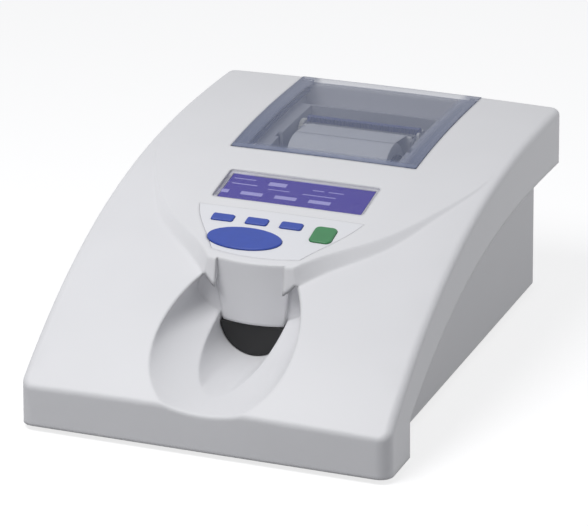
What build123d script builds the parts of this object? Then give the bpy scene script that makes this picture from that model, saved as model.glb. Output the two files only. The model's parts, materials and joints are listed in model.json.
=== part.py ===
from build123d import *
import math
import os

# A desk-top urine analyzer: a low wedge of a housing whose curved top carries a raised
# console, a scooped recess in front from which a strip tray slides out, and a printer bay
# under a clear lid at the back.
#
# All sizes are millimetres.  While the pieces are made, X runs across the machine, Y back
# from the foot of the front face, and Z up from the bottom edge of the housing.  On export
# everything is shifted, so that the origin lies on the table under the middle of the machine.

# ---- Housing ---------------------------------------------------------------------------
WIDTH = 280.0
DEPTH = 404.0
TOP_LINE = (29.3, 143.0, 146.2, 145.1)   # heights that pull the top's curve, front to rear
CROWN = 2.0                              # rise of the top in the middle
CROWN_MARGIN = 10.0                      # the crown runs out this far outside the sides
DRAFT = 0.8                              # degrees, all four sides
CORNER_R = 10.0
TOP_ROUND = 5.0
WALL = 2.8
SKIN = 3.4                               # upright thickness of the top
SKIRT = (33.5, 36.6, 39.7, 42.8)         # height of the side skirt along the same curve
FRONT_BLOCK = 44.0                       # the skirt reaches the table as far back as this
FRONT_BLOCK_R = 4.0
SEAM = 0.3                               # gap between two mouldings
LIP = 3.0                                # the base's rim sits this far up inside the skirt
BASE_WALL = 2.5
SIDE_STEP = 20.0                         # the base's side walls stand this far inside the cover's
BASE_HALF = WIDTH / 2 - SIDE_STEP
FOOT_HEIGHT = 4.0
FOOT_R = 9.0
FOOT_SEAT = 1.0
FOOT_PLACES = ((BASE_HALF - 14.0, 26.0), (BASE_HALF - 20.0, DEPTH - 28.0))
SCREW_PLACES = ((BASE_HALF - 14.0, 66.0), (BASE_HALF - 14.0, DEPTH - 16.0))
SEAM_HEIGHT = 20.0                       # the base's screw pillars end here
PILLAR_R = 5.5
SCREW_R = 1.6
SCREW_HEAD_R = 3.4
SCREW_HEAD = 2.6
SCREW_BITE = 12.0

# ---- Console and recess ----------------------------------------------------------------
CONSOLE_RISE = 51.0                      # pull on the front end of the console's own curve
CONSOLE_SINK = 0.35                      # lets the console run out into the top at the back
# half outline where the console meets the top: across, back, and lean of the flank there
CONSOLE_OUTLINE = (
    (131.0, 262.0, 1.0),
    (126.0, 222.0, 1.0),
    (107.0, 181.0, 1.0),
    (80.0, 143.0, 0.8),
    (47.0, 115.0, 0.5),
    (33.0, 97.0, 0.25),
)
CONSOLE_FRONT_BOW = 4.0
NOSE_TOP_HALF = 33.0
NOSE_BOTTOM_HALF = 23.3
NOSE_TOP_Y = 94.0
NOSE_BOTTOM_Y = 98.0
NOSE_TOP_Z = 118.0
NOSE_BOTTOM_Z = 59.3
NOSE_BOW = 4.0
SCOOP = (65.0, 110.0, 32.8)              # half axes of the ellipsoid that makes the recess
SCOOP_CENTRE = (23.2, 74.9)
SCOOP_TILT = 28.9
SCOOP_ROUND = 3.0
CHANNEL_R = 26.0
CHANNEL_Z = 60.0
MOUTH_Y = 104.0                          # plane where the tray comes out of the housing

# ---- Display ---------------------------------------------------------------------------
LCD_Y = 188.5
LCD_W, LCD_H = 112.0, 34.0
WINDOW_BORDER = 3.0
WINDOW_T = 1.2
WINDOW_SINK = 1.0                        # the flat window lies this far under the curved console
WINDOW_LEDGE = 0.8
BEZEL_BORDER = 7.0
BEZEL_T = 5.0
GLASS_T = 2.0
BOARD_T = 1.6

# ---- Keys ------------------------------------------------------------------------------
KEY_PITCH = 26.6
KEY_ROW_Y = 143.4
KEY_W, KEY_D = 17.0, 8.2
KEY_R = 1.8
START_X, START_Y = -14.5, 121.6
START_HALF_W, START_HALF_D = 28.6, 13.4
MENU_D = 19.4                            # the fourth key is as wide as its row, but deeper
MENU_R = 4.0
KEY_PROUD = 1.2
KEY_GAP = 0.3
KEY_FLANGE = 1.6
KEY_FLANGE_T = 1.2
KEY_TRAVEL = 1.2
KEY_STEM_R = 1.8
SWITCH_DEPTH = 12.0                      # from the panel's face down to the key board
SWITCH_SIZE = 6.0
KEY_POST_X = 54.0                        # two posts under the console carry the key board
KEY_POST_R = 2.5
KEY_BOARD_D = 28.0
PANEL_T = 0.8
PANEL_FIT = 0.1
PANEL_OUTLINE = ((64.0, 158.0), (58.2, 144.0), (47.5, 127.0), (34.0, 106.5))
PANEL_FRONT_BOW = 4.0

# ---- Strip tray and its drive ----------------------------------------------------------
TRAY_R = 25.3
TRAY_FRONT = 100.6
TRAY_LENGTH = 145.0
TRAY_TOP = 58.4
TRAY_SHELL = 2.2
TRAY_TRAVEL = 90.0
TRAY_EAR = 4.0                           # the ears run in the tunnel's grooves
TRAY_EAR_T = 2.0
TRAY_EAR_LENGTH = 45.0
RUN = 0.35                               # play between the tray and its guides
STRIP_W = 5.4
STRIP_LENGTH = 112.0
STRIP_DEEP = 1.0
HOLDER_HALF = 8.0
HOLDER_T = 2.2
PAD_SIZE = 10.0
GEAR_MODULE = 1.0
PINION_TEETH = 20
PINION_Y = 128.0
PINION_WIDTH = 7.0
RACK_PITCH_Z = 38.0
RACK_HALF = 4.0
RACK_T = 4.0
BACKLASH = 0.12
SHAFT_R = 1.5
BORE_PLAY = 0.05
SEAT_PLAY = 0.02                         # round pieces that are fixed to each other
MOTOR_R = 12.0
MOTOR_LENGTH = 26.0
MOTOR_PLATE_X = 42.0
PLATE_T = 1.5
TUNNEL_REAR = 262.0
TUNNEL_WALL = 2.6
RAIL_HALF = 33.0
RAIL_TOP = 62.0
HEAD_Y = (158.0, 204.0)
HEAD_HALF = 22.0
HEAD_TOP = 90.0
LENS_R = 6.0

# ---- Printer bay -----------------------------------------------------------------------
LID_HALF = 73.5
LID_FRONT = 243.3
LID_PROUD = 0.6
LID_DOWN = 2.0                           # the lid's underside lies this far under the top
LID_GAP = 0.4
LID_BARREL_R = 3.4
LID_AXIS_BACK = 7.0                      # from the foot of the rear face
LID_PIN_R = 1.5
LID_PIN_LENGTH = 16.0
LID_RIB_X = 62.0
LID_RIB = 4.0
LEDGE = 4.0                              # width of the ledge that the lid rests on
FRAME_DROP = 5.5                         # thickness of the frame round the lid's opening
FRAME_MARGIN = 5.0
BEAM_FRONT = 388.0
BEAM_DROP = 22.0
BAY_FLANGE_T = 2.0
BAY_SCREW_HEAD_R = 2.8
BAY_SCREW_BITE = 2.5
BAY_SHELF_DROP = 8.5
BAY_REAR_DROP = 19.0                     # the floor behind the printer lies deeper than the shelf
BAY_WALL = 2.2
WELL_HALF = 51.5
WELL_FRONT = 258.0
WELL_REAR = 357.0
WELL_FLOOR = 87.5
ROLL_Y, ROLL_Z = 290.0, 116.3
ROLL_R = 22.5
ROLL_WIDTH = 80.0
CORE_R = 8.0
CORE_T = 1.6
HUB_FLANGE_R = 14.0
HUB_T = 3.4
SPINDLE_R = 4.0
MECH_HALF = 44.0
MECH_Y = (315.0, 353.0)
MECH_TOP = 134.0
PLATEN_Y, PLATEN_Z = 330.0, 126.0
PLATEN_R = 6.0
PLATEN_SHAFT_R = 2.0
FEED_MODULE = 0.8
PLATEN_TEETH = 24
FEED_TEETH = 12
FEED_ANGLE = 30.0                        # degrees that the motor lies below the platen
FEED_GEAR_X = -49.6                      # outer face of the gears, outside the left side plate
FEED_GEAR_W = 3.4
FEED_MOTOR_R = 8.0
FEED_MOTOR_LENGTH = 34.0
FEED_SHAFT_R = 1.2
HEAD_GAP = 0.3
HEAD_T = 2.5
GUIDE_T = 2.4
GUIDE_RISE = 2.0
WEB_T = 0.3                              # paper on its way from the roll to the platen
WEB_GAP = 0.3
BAR_HALF = 45.6
BAR_D = 6.0
BAR_T = 4.0
BAR_TEETH = 38
LEVER_Y, LEVER_Z = 322.0, 128.0
LEVER_LENGTH = 11.0

# ---- Boards, supply and sockets ---------------------------------------------------------
MAIN_X = (BASE_HALF - 74.0, BASE_HALF - 8.0)
MAIN_Y = (150.0, 372.0)
STANDOFF = 9.0
CORE_BLOCK = (56.0, 34.0, 46.0)          # transformer's iron
CORE_X, CORE_Y = -78.0, 330.0
SOCKET_Z = 34.0
INLET_X = -78.0
SWITCH_X = -44.0
SERIAL_X = 30.0
INLET_W, INLET_H, INLET_DEEP = 27.0, 20.0, 14.0
ROCKER_W, ROCKER_H = 12.0, 19.0
ROCKER_TILT = 9.0

SHARED = {}                              # shapes that several pieces are cut with


# ---- The curves and surfaces of the top --------------------------------------------------
def raise_degree(heights):
    n = len(heights)
    low = [0.0] + list(heights)
    high = list(heights) + [0.0]
    return [i / n * low[i] + (1 - i / n) * high[i] for i in range(n + 1)]


def console_line():
    line = [h - CONSOLE_SINK for h in raise_degree(raise_degree(TOP_LINE))]
    line[0] += CONSOLE_RISE
    return line


def curve_height(line, y):
    n, t = len(line) - 1, y / DEPTH
    return sum(math.comb(n, i) * t**i * (1 - t) ** (n - i) * h for i, h in enumerate(line))


def surface_height(line, x, y):
    reach = WIDTH / 2 + CROWN_MARGIN
    return curve_height(line, y) + CROWN * (1 - (x / reach) ** 2)


def under(line, drop=0.0):
    """Everything below the crowned surface that a line of heights makes."""
    reach = WIDTH / 2 + CROWN_MARGIN
    rows = [
        [(-reach, DEPTH * i / (len(line) - 1), h - drop),
         (0.0, DEPTH * i / (len(line) - 1), h - drop + 2 * CROWN),
         (reach, DEPTH * i / (len(line) - 1), h - drop)]
        for i, h in enumerate(line)
    ]
    return extrude(Face.make_bezier_surface(rows), amount=2 * DEPTH, dir=(0, 0, -1))


def top_layer(line, upper, lower):
    return under(line, upper) - under(line, lower)


def console_plane(x, y):
    """A plane that lies on the console at a place, with its Z along the surface's normal."""
    line, step = console_line(), 0.5
    rise = curve_height(line, y + step) - curve_height(line, y - step)
    normal = Vector(0, -rise, 2 * step).normalized()
    return Plane(origin=(x, y, surface_height(line, x, y)), x_dir=(1, 0, 0), z_dir=normal)


def key_plane(x, y):
    """Every key moves along one direction, the normal midway between the two key rows."""
    tilt = console_plane(0, (KEY_ROW_Y + START_Y) / 2)
    here = console_plane(x, y)
    return Plane(origin=here.origin, x_dir=(1, 0, 0), z_dir=tilt.z_dir)


# ---- Small helpers -----------------------------------------------------------------------
def block(x, y, z):
    """A box from three (low, high) pairs."""
    size = [b - a for a, b in (x, y, z)]
    middle = [(a + b) / 2 for a, b in (x, y, z)]
    return Pos(*middle) * Box(*size)


def rod_x(radius, x, y, z):
    return Pos((x[0] + x[1]) / 2, y, z) * Rot(Y=90) * Cylinder(radius, x[1] - x[0])


def rod_y(radius, x, y, z):
    return Pos(x, (y[0] + y[1]) / 2, z) * Rot(X=90) * Cylinder(radius, y[1] - y[0])


def rod_z(radius, x, y, z):
    return Pos(x, y, (z[0] + z[1]) / 2) * Cylinder(radius, z[1] - z[0])


def both_sides(places):
    return [(side * x, y) for x, y in places for side in (-1, 1)]


def drafted(half, front, rear, inset, radius):
    """An upright block with the housing's draft on its four sides."""
    across, along = 2 * (half - inset), rear - front - 2 * inset
    outline = Pos(0, (front + rear) / 2) * RectangleRounded(across, along, radius)
    return extrude(outline, amount=TOP_LINE[2] + 30, taper=DRAFT)


def sideways(face, half):
    """Extrudes a face drawn with Y to the right and Z up, to both sides of the middle."""
    return extrude(Plane.YZ * face, amount=half, both=True)


def skirt_line():
    return [top - skirt for top, skirt in zip(TOP_LINE, SKIRT)]


def below_parting(offset):
    """The space under and behind the edge of the skirt, moved in by an offset."""
    line = skirt_line()
    points = [(DEPTH * i / 3, h + offset) for i, h in enumerate(line)]
    floor = -DEPTH / 2
    curve = Bezier(*points)
    outline = curve + Polyline(points[-1], (DEPTH, floor), (0, floor), points[0])
    region = make_face(outline)
    front = FRONT_BLOCK - offset
    region = region & Pos(front + DEPTH / 2, 0) * Rectangle(DEPTH, 4 * DEPTH)
    corner = region.vertices().filter_by_position(Axis.X, front - 0.1, front + 0.1).sort_by(Axis.Y)[-1]
    return sideways(fillet(corner, FRONT_BLOCK_R), WIDTH)


def gear_outline(teeth, module, backlash):
    """An involute gear's outline, with one tooth on the +Y side of the middle."""
    pitch_r = module * teeth / 2
    base_r = pitch_r * math.cos(math.radians(20))
    tip_r, root_r = pitch_r + module, pitch_r - 1.25 * module
    spread = math.tan(math.radians(20)) - math.radians(20)
    half = math.pi / (2 * teeth) - backlash / (2 * pitch_r) + spread
    radii = [max(base_r, root_r), (base_r + tip_r) / 2, tip_r]
    flank = []
    for r in radii:
        roll = math.sqrt(max((r / base_r) ** 2 - 1, 0.0))
        flank.append((r, half - (roll - math.atan(roll))))
    flank.insert(0, (root_r, half))
    points = []
    for tooth in range(teeth):
        middle = math.pi / 2 - 2 * math.pi * tooth / teeth
        ends = [(r, middle + a) for r, a in flank] + [(r, middle - a) for r, a in flank[::-1]]
        points += [(r * math.cos(a), r * math.sin(a)) for r, a in ends]
    return make_face(Polyline(*points, close=True))


def gear_x(teeth, module, x, y, z, turn=0.0):
    """A gear on an axle along X, whose first tooth points up, turned by some degrees."""
    plane = Plane(origin=(x[0], y, z), x_dir=(0, 1, 0), z_dir=(1, 0, 0))
    return extrude(plane * Rot(Z=turn) * gear_outline(teeth, module, BACKLASH), amount=x[1] - x[0])


# ---- Shapes that several pieces share ----------------------------------------------------
def console_section(z, inset):
    rows = CONSOLE_OUTLINE
    points = []
    for i, (x, y, lean) in enumerate(rows):
        xa, ya, _ = rows[max(i - 1, 0)]
        xb, yb, _ = rows[min(i + 1, len(rows) - 1)]
        run = math.hypot(xb - xa, yb - ya)
        reach = lean * (surface_height(console_line(), x, y) - z) - inset
        points.append((x + reach * (ya - yb) / run, y + reach * (xb - xa) / run))
    flank = Spline(*points)
    other = mirror(flank, about=Plane.YZ)
    tip_x, tip_y = points[-1]
    front = ThreePointArc((tip_x, tip_y), (0, tip_y - CONSOLE_FRONT_BOW), (-tip_x, tip_y))
    rear = Line(points[0], (-points[0][0], points[0][1]))
    return Pos(0, 0, z) * make_face([flank, other, front, rear])


def console(inset, drop):
    low, high = NOSE_BOTTOM_Z + 25, TOP_LINE[2] + 4
    flanks = loft([console_section(low, inset), console_section(high, inset)], ruled=True)
    half, rear = CONSOLE_OUTLINE[0][0] - inset, CONSOLE_OUTLINE[0][1]
    return flanks & under(console_line(), drop) & block((-half, half), (0, rear), (0, DEPTH))


def nose_section(half, y, z):
    shoulder = y + NOSE_BOW
    front = ThreePointArc((half, shoulder), (0, y), (-half, shoulder))
    back = KEY_ROW_Y
    sides = Polyline((-half, shoulder), (-half, back), (half, back), (half, shoulder))
    return Pos(0, 0, z) * make_face(front + sides)


def nose(inset, drop):
    bottom = nose_section(NOSE_BOTTOM_HALF - inset, NOSE_BOTTOM_Y + inset, NOSE_BOTTOM_Z + inset)
    top = nose_section(NOSE_TOP_HALF - inset, NOSE_TOP_Y + inset, NOSE_TOP_Z)
    return loft([bottom, top]) & under(console_line(), drop)


def scoop(grow):
    shape = scale(Sphere(1.0), by=tuple(a + grow for a in SCOOP))
    return Pos(0, *SCOOP_CENTRE) * Rot(X=SCOOP_TILT) * shape


def channel(grow):
    """The half-round channel that the tray slides along, open above."""
    radius, rear = CHANNEL_R + grow, MOUTH_Y + grow
    trough = rod_y(radius, 0, (-DEPTH / 10, rear), CHANNEL_Z)
    return trough + block((-radius, radius), (-DEPTH / 10, rear), (CHANNEL_Z, TOP_LINE[2]))


def prepare():
    outer = drafted(WIDTH / 2, 0, DEPTH, 0, CORNER_R) & under(TOP_LINE)
    top = outer.faces().filter_by(GeomType.BEZIER).sort_by(SortBy.AREA)[-1]
    SHARED["outer"] = fillet(top.edges(), TOP_ROUND)
    SHARED["keys"] = key_list()


# ---- Keys ---------------------------------------------------------------------------------
def key_list():
    """Name and place of each key: three alike in a row, a deep one at its end, an oval one."""
    keys = [("soft_key_%d" % (i + 1), KEY_PITCH * (i - 1.5), KEY_ROW_Y) for i in range(3)]
    rear_edge = KEY_ROW_Y + KEY_D / 2
    keys.append(("menu_key", 1.5 * KEY_PITCH, rear_edge - MENU_D / 2))
    keys.append(("start_key", START_X, START_Y))
    return keys


def key_shape(name, grow):
    if name == "start_key":
        return Ellipse(START_HALF_W + grow, START_HALF_D + grow)
    if name == "menu_key":
        return RectangleRounded(KEY_W + 2 * grow, MENU_D + 2 * grow, MENU_R + grow)
    return RectangleRounded(KEY_W + 2 * grow, KEY_D + 2 * grow, KEY_R + grow)


def key_prism(key, grow, low, high):
    name, x, y = key
    return extrude(key_plane(x, y) * Pos(0, 0, low) * key_shape(name, grow), amount=high - low)


def make_key(key):
    name, x, y = key
    deep = SKIN + SEAM
    cap = key_prism(key, 0, -deep - KEY_FLANGE_T, KEY_PROUD)
    plane = key_plane(x, y)
    face = cap.faces().sort_by(Axis(plane.origin, plane.z_dir))[-1]
    cap = chamfer(face.edges(), KEY_PROUD / 2)
    flange = key_prism(key, KEY_FLANGE, -deep - KEY_FLANGE_T, -deep)
    stem_end = -SWITCH_DEPTH + SWITCH_SIZE / 2 + KEY_TRAVEL + KEY_GAP
    stem = plane * Pos(0, 0, (stem_end - deep) / 2) * Cylinder(KEY_STEM_R, -deep - stem_end)
    return cap + flange + stem


# ---- Housing -------------------------------------------------------------------------------
def lid_axis():
    y = DEPTH - LID_AXIS_BACK
    return y, surface_height(TOP_LINE, LID_HALF, y) + LID_PROUD - LID_BARREL_R


def lid_pocket():
    """The seat of the lid, cut into the top, with a groove for its barrel."""
    half = LID_HALF + LID_GAP
    y, z = lid_axis()
    seat = block((-half, half), (LID_FRONT - LID_GAP, y), (0, DEPTH)) - under(TOP_LINE, LID_DOWN + SEAM)
    groove = rod_x(LID_BARREL_R + LID_GAP, (-half, half), y, z)
    notch = block((-half, half), (y, DEPTH), (z - LID_BARREL_R - LID_GAP, DEPTH))
    return seat + groove + notch


def bay_opening():
    half = LID_HALF - LEDGE
    return block((-half, half), (LID_FRONT + LEDGE, BEAM_FRONT), (WELL_FLOOR, DEPTH))


def make_cover():
    outer = SHARED["outer"]
    hollow = drafted(WIDTH / 2, 0, DEPTH, WALL, CORNER_R - WALL) & under(TOP_LINE, SKIN)
    front = NOSE_TOP_Y + NOSE_BOW + WALL
    hollow += console(WALL, SKIN) & block((-WIDTH, WIDTH), (front, DEPTH), (0, DEPTH))
    hollow += nose(WALL, SKIN)

    shell = outer - scoop(0)
    rims = [e for e in shell.edges() if e.bounding_box().size.X > 60 and e.bounding_box().size.Y > 60]
    rims = [e for e in rims if e.bounding_box().size.X < WIDTH / 2]
    shell = fillet(rims, SCOOP_ROUND)
    shell = shell + console(0, 0)
    shell = shell - channel(0)
    shell = shell + nose(0, 0)

    trough = (scoop(WALL) + channel(WALL)) & block(
        (-WIDTH / 3, WIDTH / 3), (0, MOUTH_Y + WALL), (0, surface_height(TOP_LINE, 0, MOUTH_Y)))
    mouth = rod_y(CHANNEL_R, 0, (NOSE_BOTTOM_Y, MOUTH_Y + 2 * WALL), CHANNEL_Z) & block(
        (-CHANNEL_R, CHANNEL_R), (0, DEPTH), (0, NOSE_BOTTOM_Z))
    frame_half = LID_HALF + FRAME_MARGIN
    frame = block((-frame_half, frame_half), (LID_FRONT - FRAME_MARGIN, DEPTH), (0, DEPTH))
    frame = frame - under(TOP_LINE, FRAME_DROP)
    beam = block((-frame_half - FRAME_MARGIN, frame_half + FRAME_MARGIN), (BEAM_FRONT, DEPTH), (0, DEPTH))
    beam = beam - under(TOP_LINE, BEAM_DROP)
    hollow = hollow - trough - frame - beam

    margin = WALL + SEAM / 6
    sides = below_parting(0) - drafted(WIDTH / 2, 0, DEPTH, margin, CORNER_R - margin)
    shell = shell - hollow - mouth - sides
    for x, y in both_sides(SCREW_PLACES):
        pillar = rod_z(PILLAR_R, x, y, (SEAM_HEIGHT, TOP_LINE[2]))
        shell += pillar & under(TOP_LINE, SKIN / 2)
        shell -= rod_z(SCREW_R, x, y, (SEAM_HEIGHT, SEAM_HEIGHT + SCREW_BITE + 1))
    shell = shell - lid_pocket() - bay_opening()
    for x, y in both_sides(bay_screw_places()):
        shell -= rod_z(SCREW_R, x, y, (WELL_FLOOR, bay_screw_seat(x, y) + BAY_FLANGE_T + BAY_SCREW_BITE + 1))
    y, z = lid_axis()
    for side in (-1, 1):
        reach = sorted((side * LID_HALF, side * (LID_HALF + LID_PIN_LENGTH / 2)))
        shell -= rod_x(LID_PIN_R, reach, y, z)

    window = window_plane()
    pocket_w, pocket_h = LCD_W + 2 * WINDOW_BORDER, LCD_H + 2 * WINDOW_BORDER
    seat = RectangleRounded(pocket_w + 2 * SEAM, pocket_h + 2 * SEAM, WINDOW_BORDER)
    shell -= window * Pos(0, 0, -WINDOW_T) * extrude(seat, amount=3 * WINDOW_T)
    sight = RectangleRounded(LCD_W + WINDOW_LEDGE, LCD_H + WINDOW_LEDGE, 1.0)
    shell -= window * extrude(sight, amount=2 * SKIN, both=True)
    for side in (-1, 1):
        post = key_board_frame() * Pos(side * KEY_POST_X, 0, 0) * Cylinder(KEY_POST_R, 2 * SWITCH_DEPTH)
        shell += post & under(console_line(), SKIN / 2)
    shell -= panel_layer(KEY_GAP / 2, -1.0, PANEL_T)
    for key in SHARED["keys"]:
        shell -= key_prism(key, KEY_GAP, -2 * SKIN, SKIN)
    return shell


def make_base():
    floor = BASE_WALL
    inset = WALL + SEAM
    rim = below_parting(LIP + floor)
    inside = drafted(WIDTH / 2, 0, DEPTH, inset, CORNER_R - WALL)
    tub = drafted(BASE_HALF, inset, DEPTH, 0, CORNER_R)
    tub = (tub & below_parting(-SEAM)) + (tub & rim & inside)
    front_tub = block((-BASE_HALF, BASE_HALF), (inset, FRONT_BLOCK), (0, SEAM_HEIGHT)) & inside
    flange = (rim - below_parting(LIP)) & inside & block((-WIDTH, WIDTH), (0, DEPTH), (0, DEPTH))
    apron = inside & block((-WIDTH, WIDTH), (0, FRONT_BLOCK - LIP), (0, floor))
    shell = tub + front_tub + flange + apron
    shell -= drafted(BASE_HALF, inset, DEPTH, floor, CORNER_R - floor) & block(
        (-WIDTH, WIDTH), (0, DEPTH), (floor, DEPTH))
    for x, y in both_sides(SCREW_PLACES):
        shell += rod_z(PILLAR_R, x, y, (0, SEAM_HEIGHT))
        shell -= rod_z(SCREW_R + SEAM, x, y, (0, SEAM_HEIGHT))
        shell -= rod_z(SCREW_HEAD_R + SEAM, x, y, (0, SEAM_HEIGHT / 2))
    for x, y in both_sides(FOOT_PLACES):
        shell -= rod_z(FOOT_R + SEAM, x, y, (0, FOOT_SEAT))
    for x, y in board_corners():
        shell += rod_z(3.5, x, y, (floor / 2, floor + STANDOFF))
        shell -= rod_z(SCREW_R / 2, x, y, (floor + 1, floor + STANDOFF))
    for cut in rear_cuts():
        shell -= cut
    return shell


def make_feet():
    feet = []
    for x, y in both_sides(FOOT_PLACES):
        foot = rod_z(FOOT_R, x, y, (-FOOT_HEIGHT, FOOT_SEAT))
        feet.append(chamfer(foot.edges().sort_by(Axis.Z)[0], 1.0))
    return Compound(children=feet)


def screw(x, y, head_low, shank_top, radius, head_r, head_t):
    """A screw that is driven in from below."""
    head = rod_z(head_r, x, y, (head_low, head_low + head_t))
    return head + rod_z(radius, x, y, (head_low + head_t, shank_top))


def make_case_screws():
    """Four screws from below, with a cross recess in each head."""
    head = SEAM_HEIGHT / 2 - SCREW_HEAD
    screws = []
    for x, y in both_sides(SCREW_PLACES):
        body = screw(x, y, head, SEAM_HEIGHT + SCREW_BITE, SCREW_R, SCREW_HEAD_R, SCREW_HEAD)
        for cut in (Box(0.8, 1.3 * SCREW_HEAD_R, SCREW_HEAD), Box(1.3 * SCREW_HEAD_R, 0.8, SCREW_HEAD)):
            body -= Pos(x, y, head) * cut
        screws.append(body)
    return Compound(children=screws)


# ---- Display and key panel -------------------------------------------------------------------
def panel_layer(grow, upper, lower):
    flank = [(x + grow, y) for x, y in PANEL_OUTLINE]
    flank[0] = (flank[0][0], flank[0][1] + grow)
    flank[-1] = (flank[-1][0], flank[-1][1] - grow)
    tip_x, tip_y = flank[-1]
    edge = Spline(*flank)
    front = ThreePointArc((tip_x, tip_y), (0, tip_y - PANEL_FRONT_BOW), (-tip_x, tip_y))
    rear = Line(flank[0], (-flank[0][0], flank[0][1]))
    outline = make_face([edge, mirror(edge, about=Plane.YZ), front, rear])
    return extrude(outline, amount=DEPTH) & top_layer(console_line(), upper, lower)


def make_panel():
    panel = panel_layer(-KEY_GAP / 2, 0.0, PANEL_T - PANEL_FIT)
    for key in SHARED["keys"]:
        panel -= key_prism(key, KEY_GAP, -2 * SKIN, SKIN)
    return panel


def window_plane():
    return console_plane(0, LCD_Y).offset(-WINDOW_SINK)


def make_window():
    plane = window_plane()
    outline = RectangleRounded(LCD_W + 2 * WINDOW_BORDER, LCD_H + 2 * WINDOW_BORDER, WINDOW_BORDER)
    return plane * Pos(0, 0, -WINDOW_T) * extrude(outline, amount=WINDOW_T)


def lcd_level():
    """Depth of the display's face under the console, square to it."""
    return SKIN + WINDOW_SINK + SEAM


def make_bezel():
    plane = console_plane(0, LCD_Y)
    top = -lcd_level()
    frame = RectangleRounded(LCD_W + 2 * BEZEL_BORDER, LCD_H + 2 * BEZEL_BORDER, 1.0)
    body = extrude(frame, amount=-BEZEL_T)
    body -= extrude(Rectangle(LCD_W, LCD_H), amount=-BEZEL_T)
    return plane * Pos(0, 0, top) * body


def glass_top():
    """The glass fills the sight opening and ends just under the window."""
    return -WINDOW_SINK - WINDOW_T - SEAM


def make_glass():
    plane = console_plane(0, LCD_Y)
    sheet = extrude(Rectangle(LCD_W - 0.2, LCD_H - 0.2), amount=-(lcd_level() + glass_top() + GLASS_T))
    return plane * Pos(0, 0, glass_top()) * sheet


def make_backlight():
    plane = console_plane(0, LCD_Y)
    sheet = extrude(Rectangle(LCD_W - 0.2, LCD_H - 0.2), amount=-(BEZEL_T - GLASS_T))
    return plane * Pos(0, 0, -lcd_level() - GLASS_T) * sheet


def make_lcd_board():
    plane = console_plane(0, LCD_Y)
    board = extrude(RectangleRounded(LCD_W + 4 * BEZEL_BORDER, LCD_H + 2.4 * BEZEL_BORDER, 2), amount=-BOARD_T)
    return plane * Pos(0, 0, -lcd_level() - BEZEL_T) * board


def key_board_frame():
    return key_plane(0, KEY_ROW_Y - 0.35 * (KEY_ROW_Y - START_Y))


def make_key_board():
    board = Rectangle(2 * (KEY_POST_X + KEY_POST_R + 1), KEY_BOARD_D)
    return key_board_frame() * Pos(0, 0, -SWITCH_DEPTH) * extrude(board, amount=-BOARD_T)


def make_key_switches():
    """One push switch under each key, standing on the key board."""
    switches = []
    level = key_board_frame()
    for name, x, y in SHARED["keys"]:
        place = level.to_local_coords(key_plane(x, y).origin)
        body = Pos(place.X, place.Y, -SWITCH_DEPTH + SWITCH_SIZE / 4) * Box(SWITCH_SIZE, SWITCH_SIZE, SWITCH_SIZE / 2)
        switches.append(level * body)
    return Compound(children=switches)


# ---- Strip tray and its drive ----------------------------------------------------------------
def half_round(radius, y, top):
    """A half-round bar along the channel, flat on top."""
    return rod_y(radius, 0, y, CHANNEL_Z) & block((-radius, radius), y, (0, top))


def pinion_z():
    return RACK_PITCH_Z - GEAR_MODULE * PINION_TEETH / 2


def rack_span():
    half_mesh = 0.6 * GEAR_MODULE * PINION_TEETH / 2
    return PINION_Y - half_mesh, PINION_Y + TRAY_TRAVEL + half_mesh


def make_tray():
    rear = TRAY_FRONT + TRAY_LENGTH
    tray = half_round(TRAY_R, (TRAY_FRONT, rear), TRAY_TOP)
    tray -= half_round(TRAY_R - TRAY_SHELL, (TRAY_FRONT + TRAY_SHELL, rear), TRAY_TOP - TRAY_SHELL - HOLDER_T)
    ears = rear - TRAY_EAR_LENGTH
    tray += block((-TRAY_R - TRAY_EAR, TRAY_R + TRAY_EAR), (ears, rear), (TRAY_TOP - TRAY_EAR_T, TRAY_TOP))
    front, back = rack_span()
    spine_z = RACK_PITCH_Z + 1.25 * GEAR_MODULE + RACK_T
    slot = RACK_HALF + RUN
    tray -= block((-slot, slot), (front - 4, back + 4), (0, spine_z))
    tray += block((-RACK_HALF + 1, RACK_HALF - 1), (front, back), (spine_z, TRAY_TOP - HOLDER_T))
    tray -= block((-HOLDER_HALF, HOLDER_HALF), holder_span(), (TRAY_TOP - HOLDER_T, TRAY_TOP + 1))
    pad = PAD_SIZE / 2
    tray -= block((-pad, pad), pad_span(), (TRAY_TOP - HOLDER_T / 2, TRAY_TOP + 1))
    return tray


def holder_span():
    start = TRAY_FRONT + 2 * TRAY_SHELL
    return start, start + STRIP_LENGTH + 8


def pad_span():
    start = holder_span()[1] + 2
    return start, start + PAD_SIZE


def make_strip_holder():
    start, end = holder_span()
    holder = block((-HOLDER_HALF, HOLDER_HALF), (start, end), (TRAY_TOP - HOLDER_T, TRAY_TOP))
    groove = (start + 4, start + 4 + STRIP_LENGTH)
    return holder - block((-STRIP_W / 2, STRIP_W / 2), groove, (TRAY_TOP - STRIP_DEEP, TRAY_TOP + 1))


def make_reference():
    pad = PAD_SIZE / 2
    return block((-pad, pad), pad_span(), (TRAY_TOP - HOLDER_T / 2, TRAY_TOP))


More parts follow.
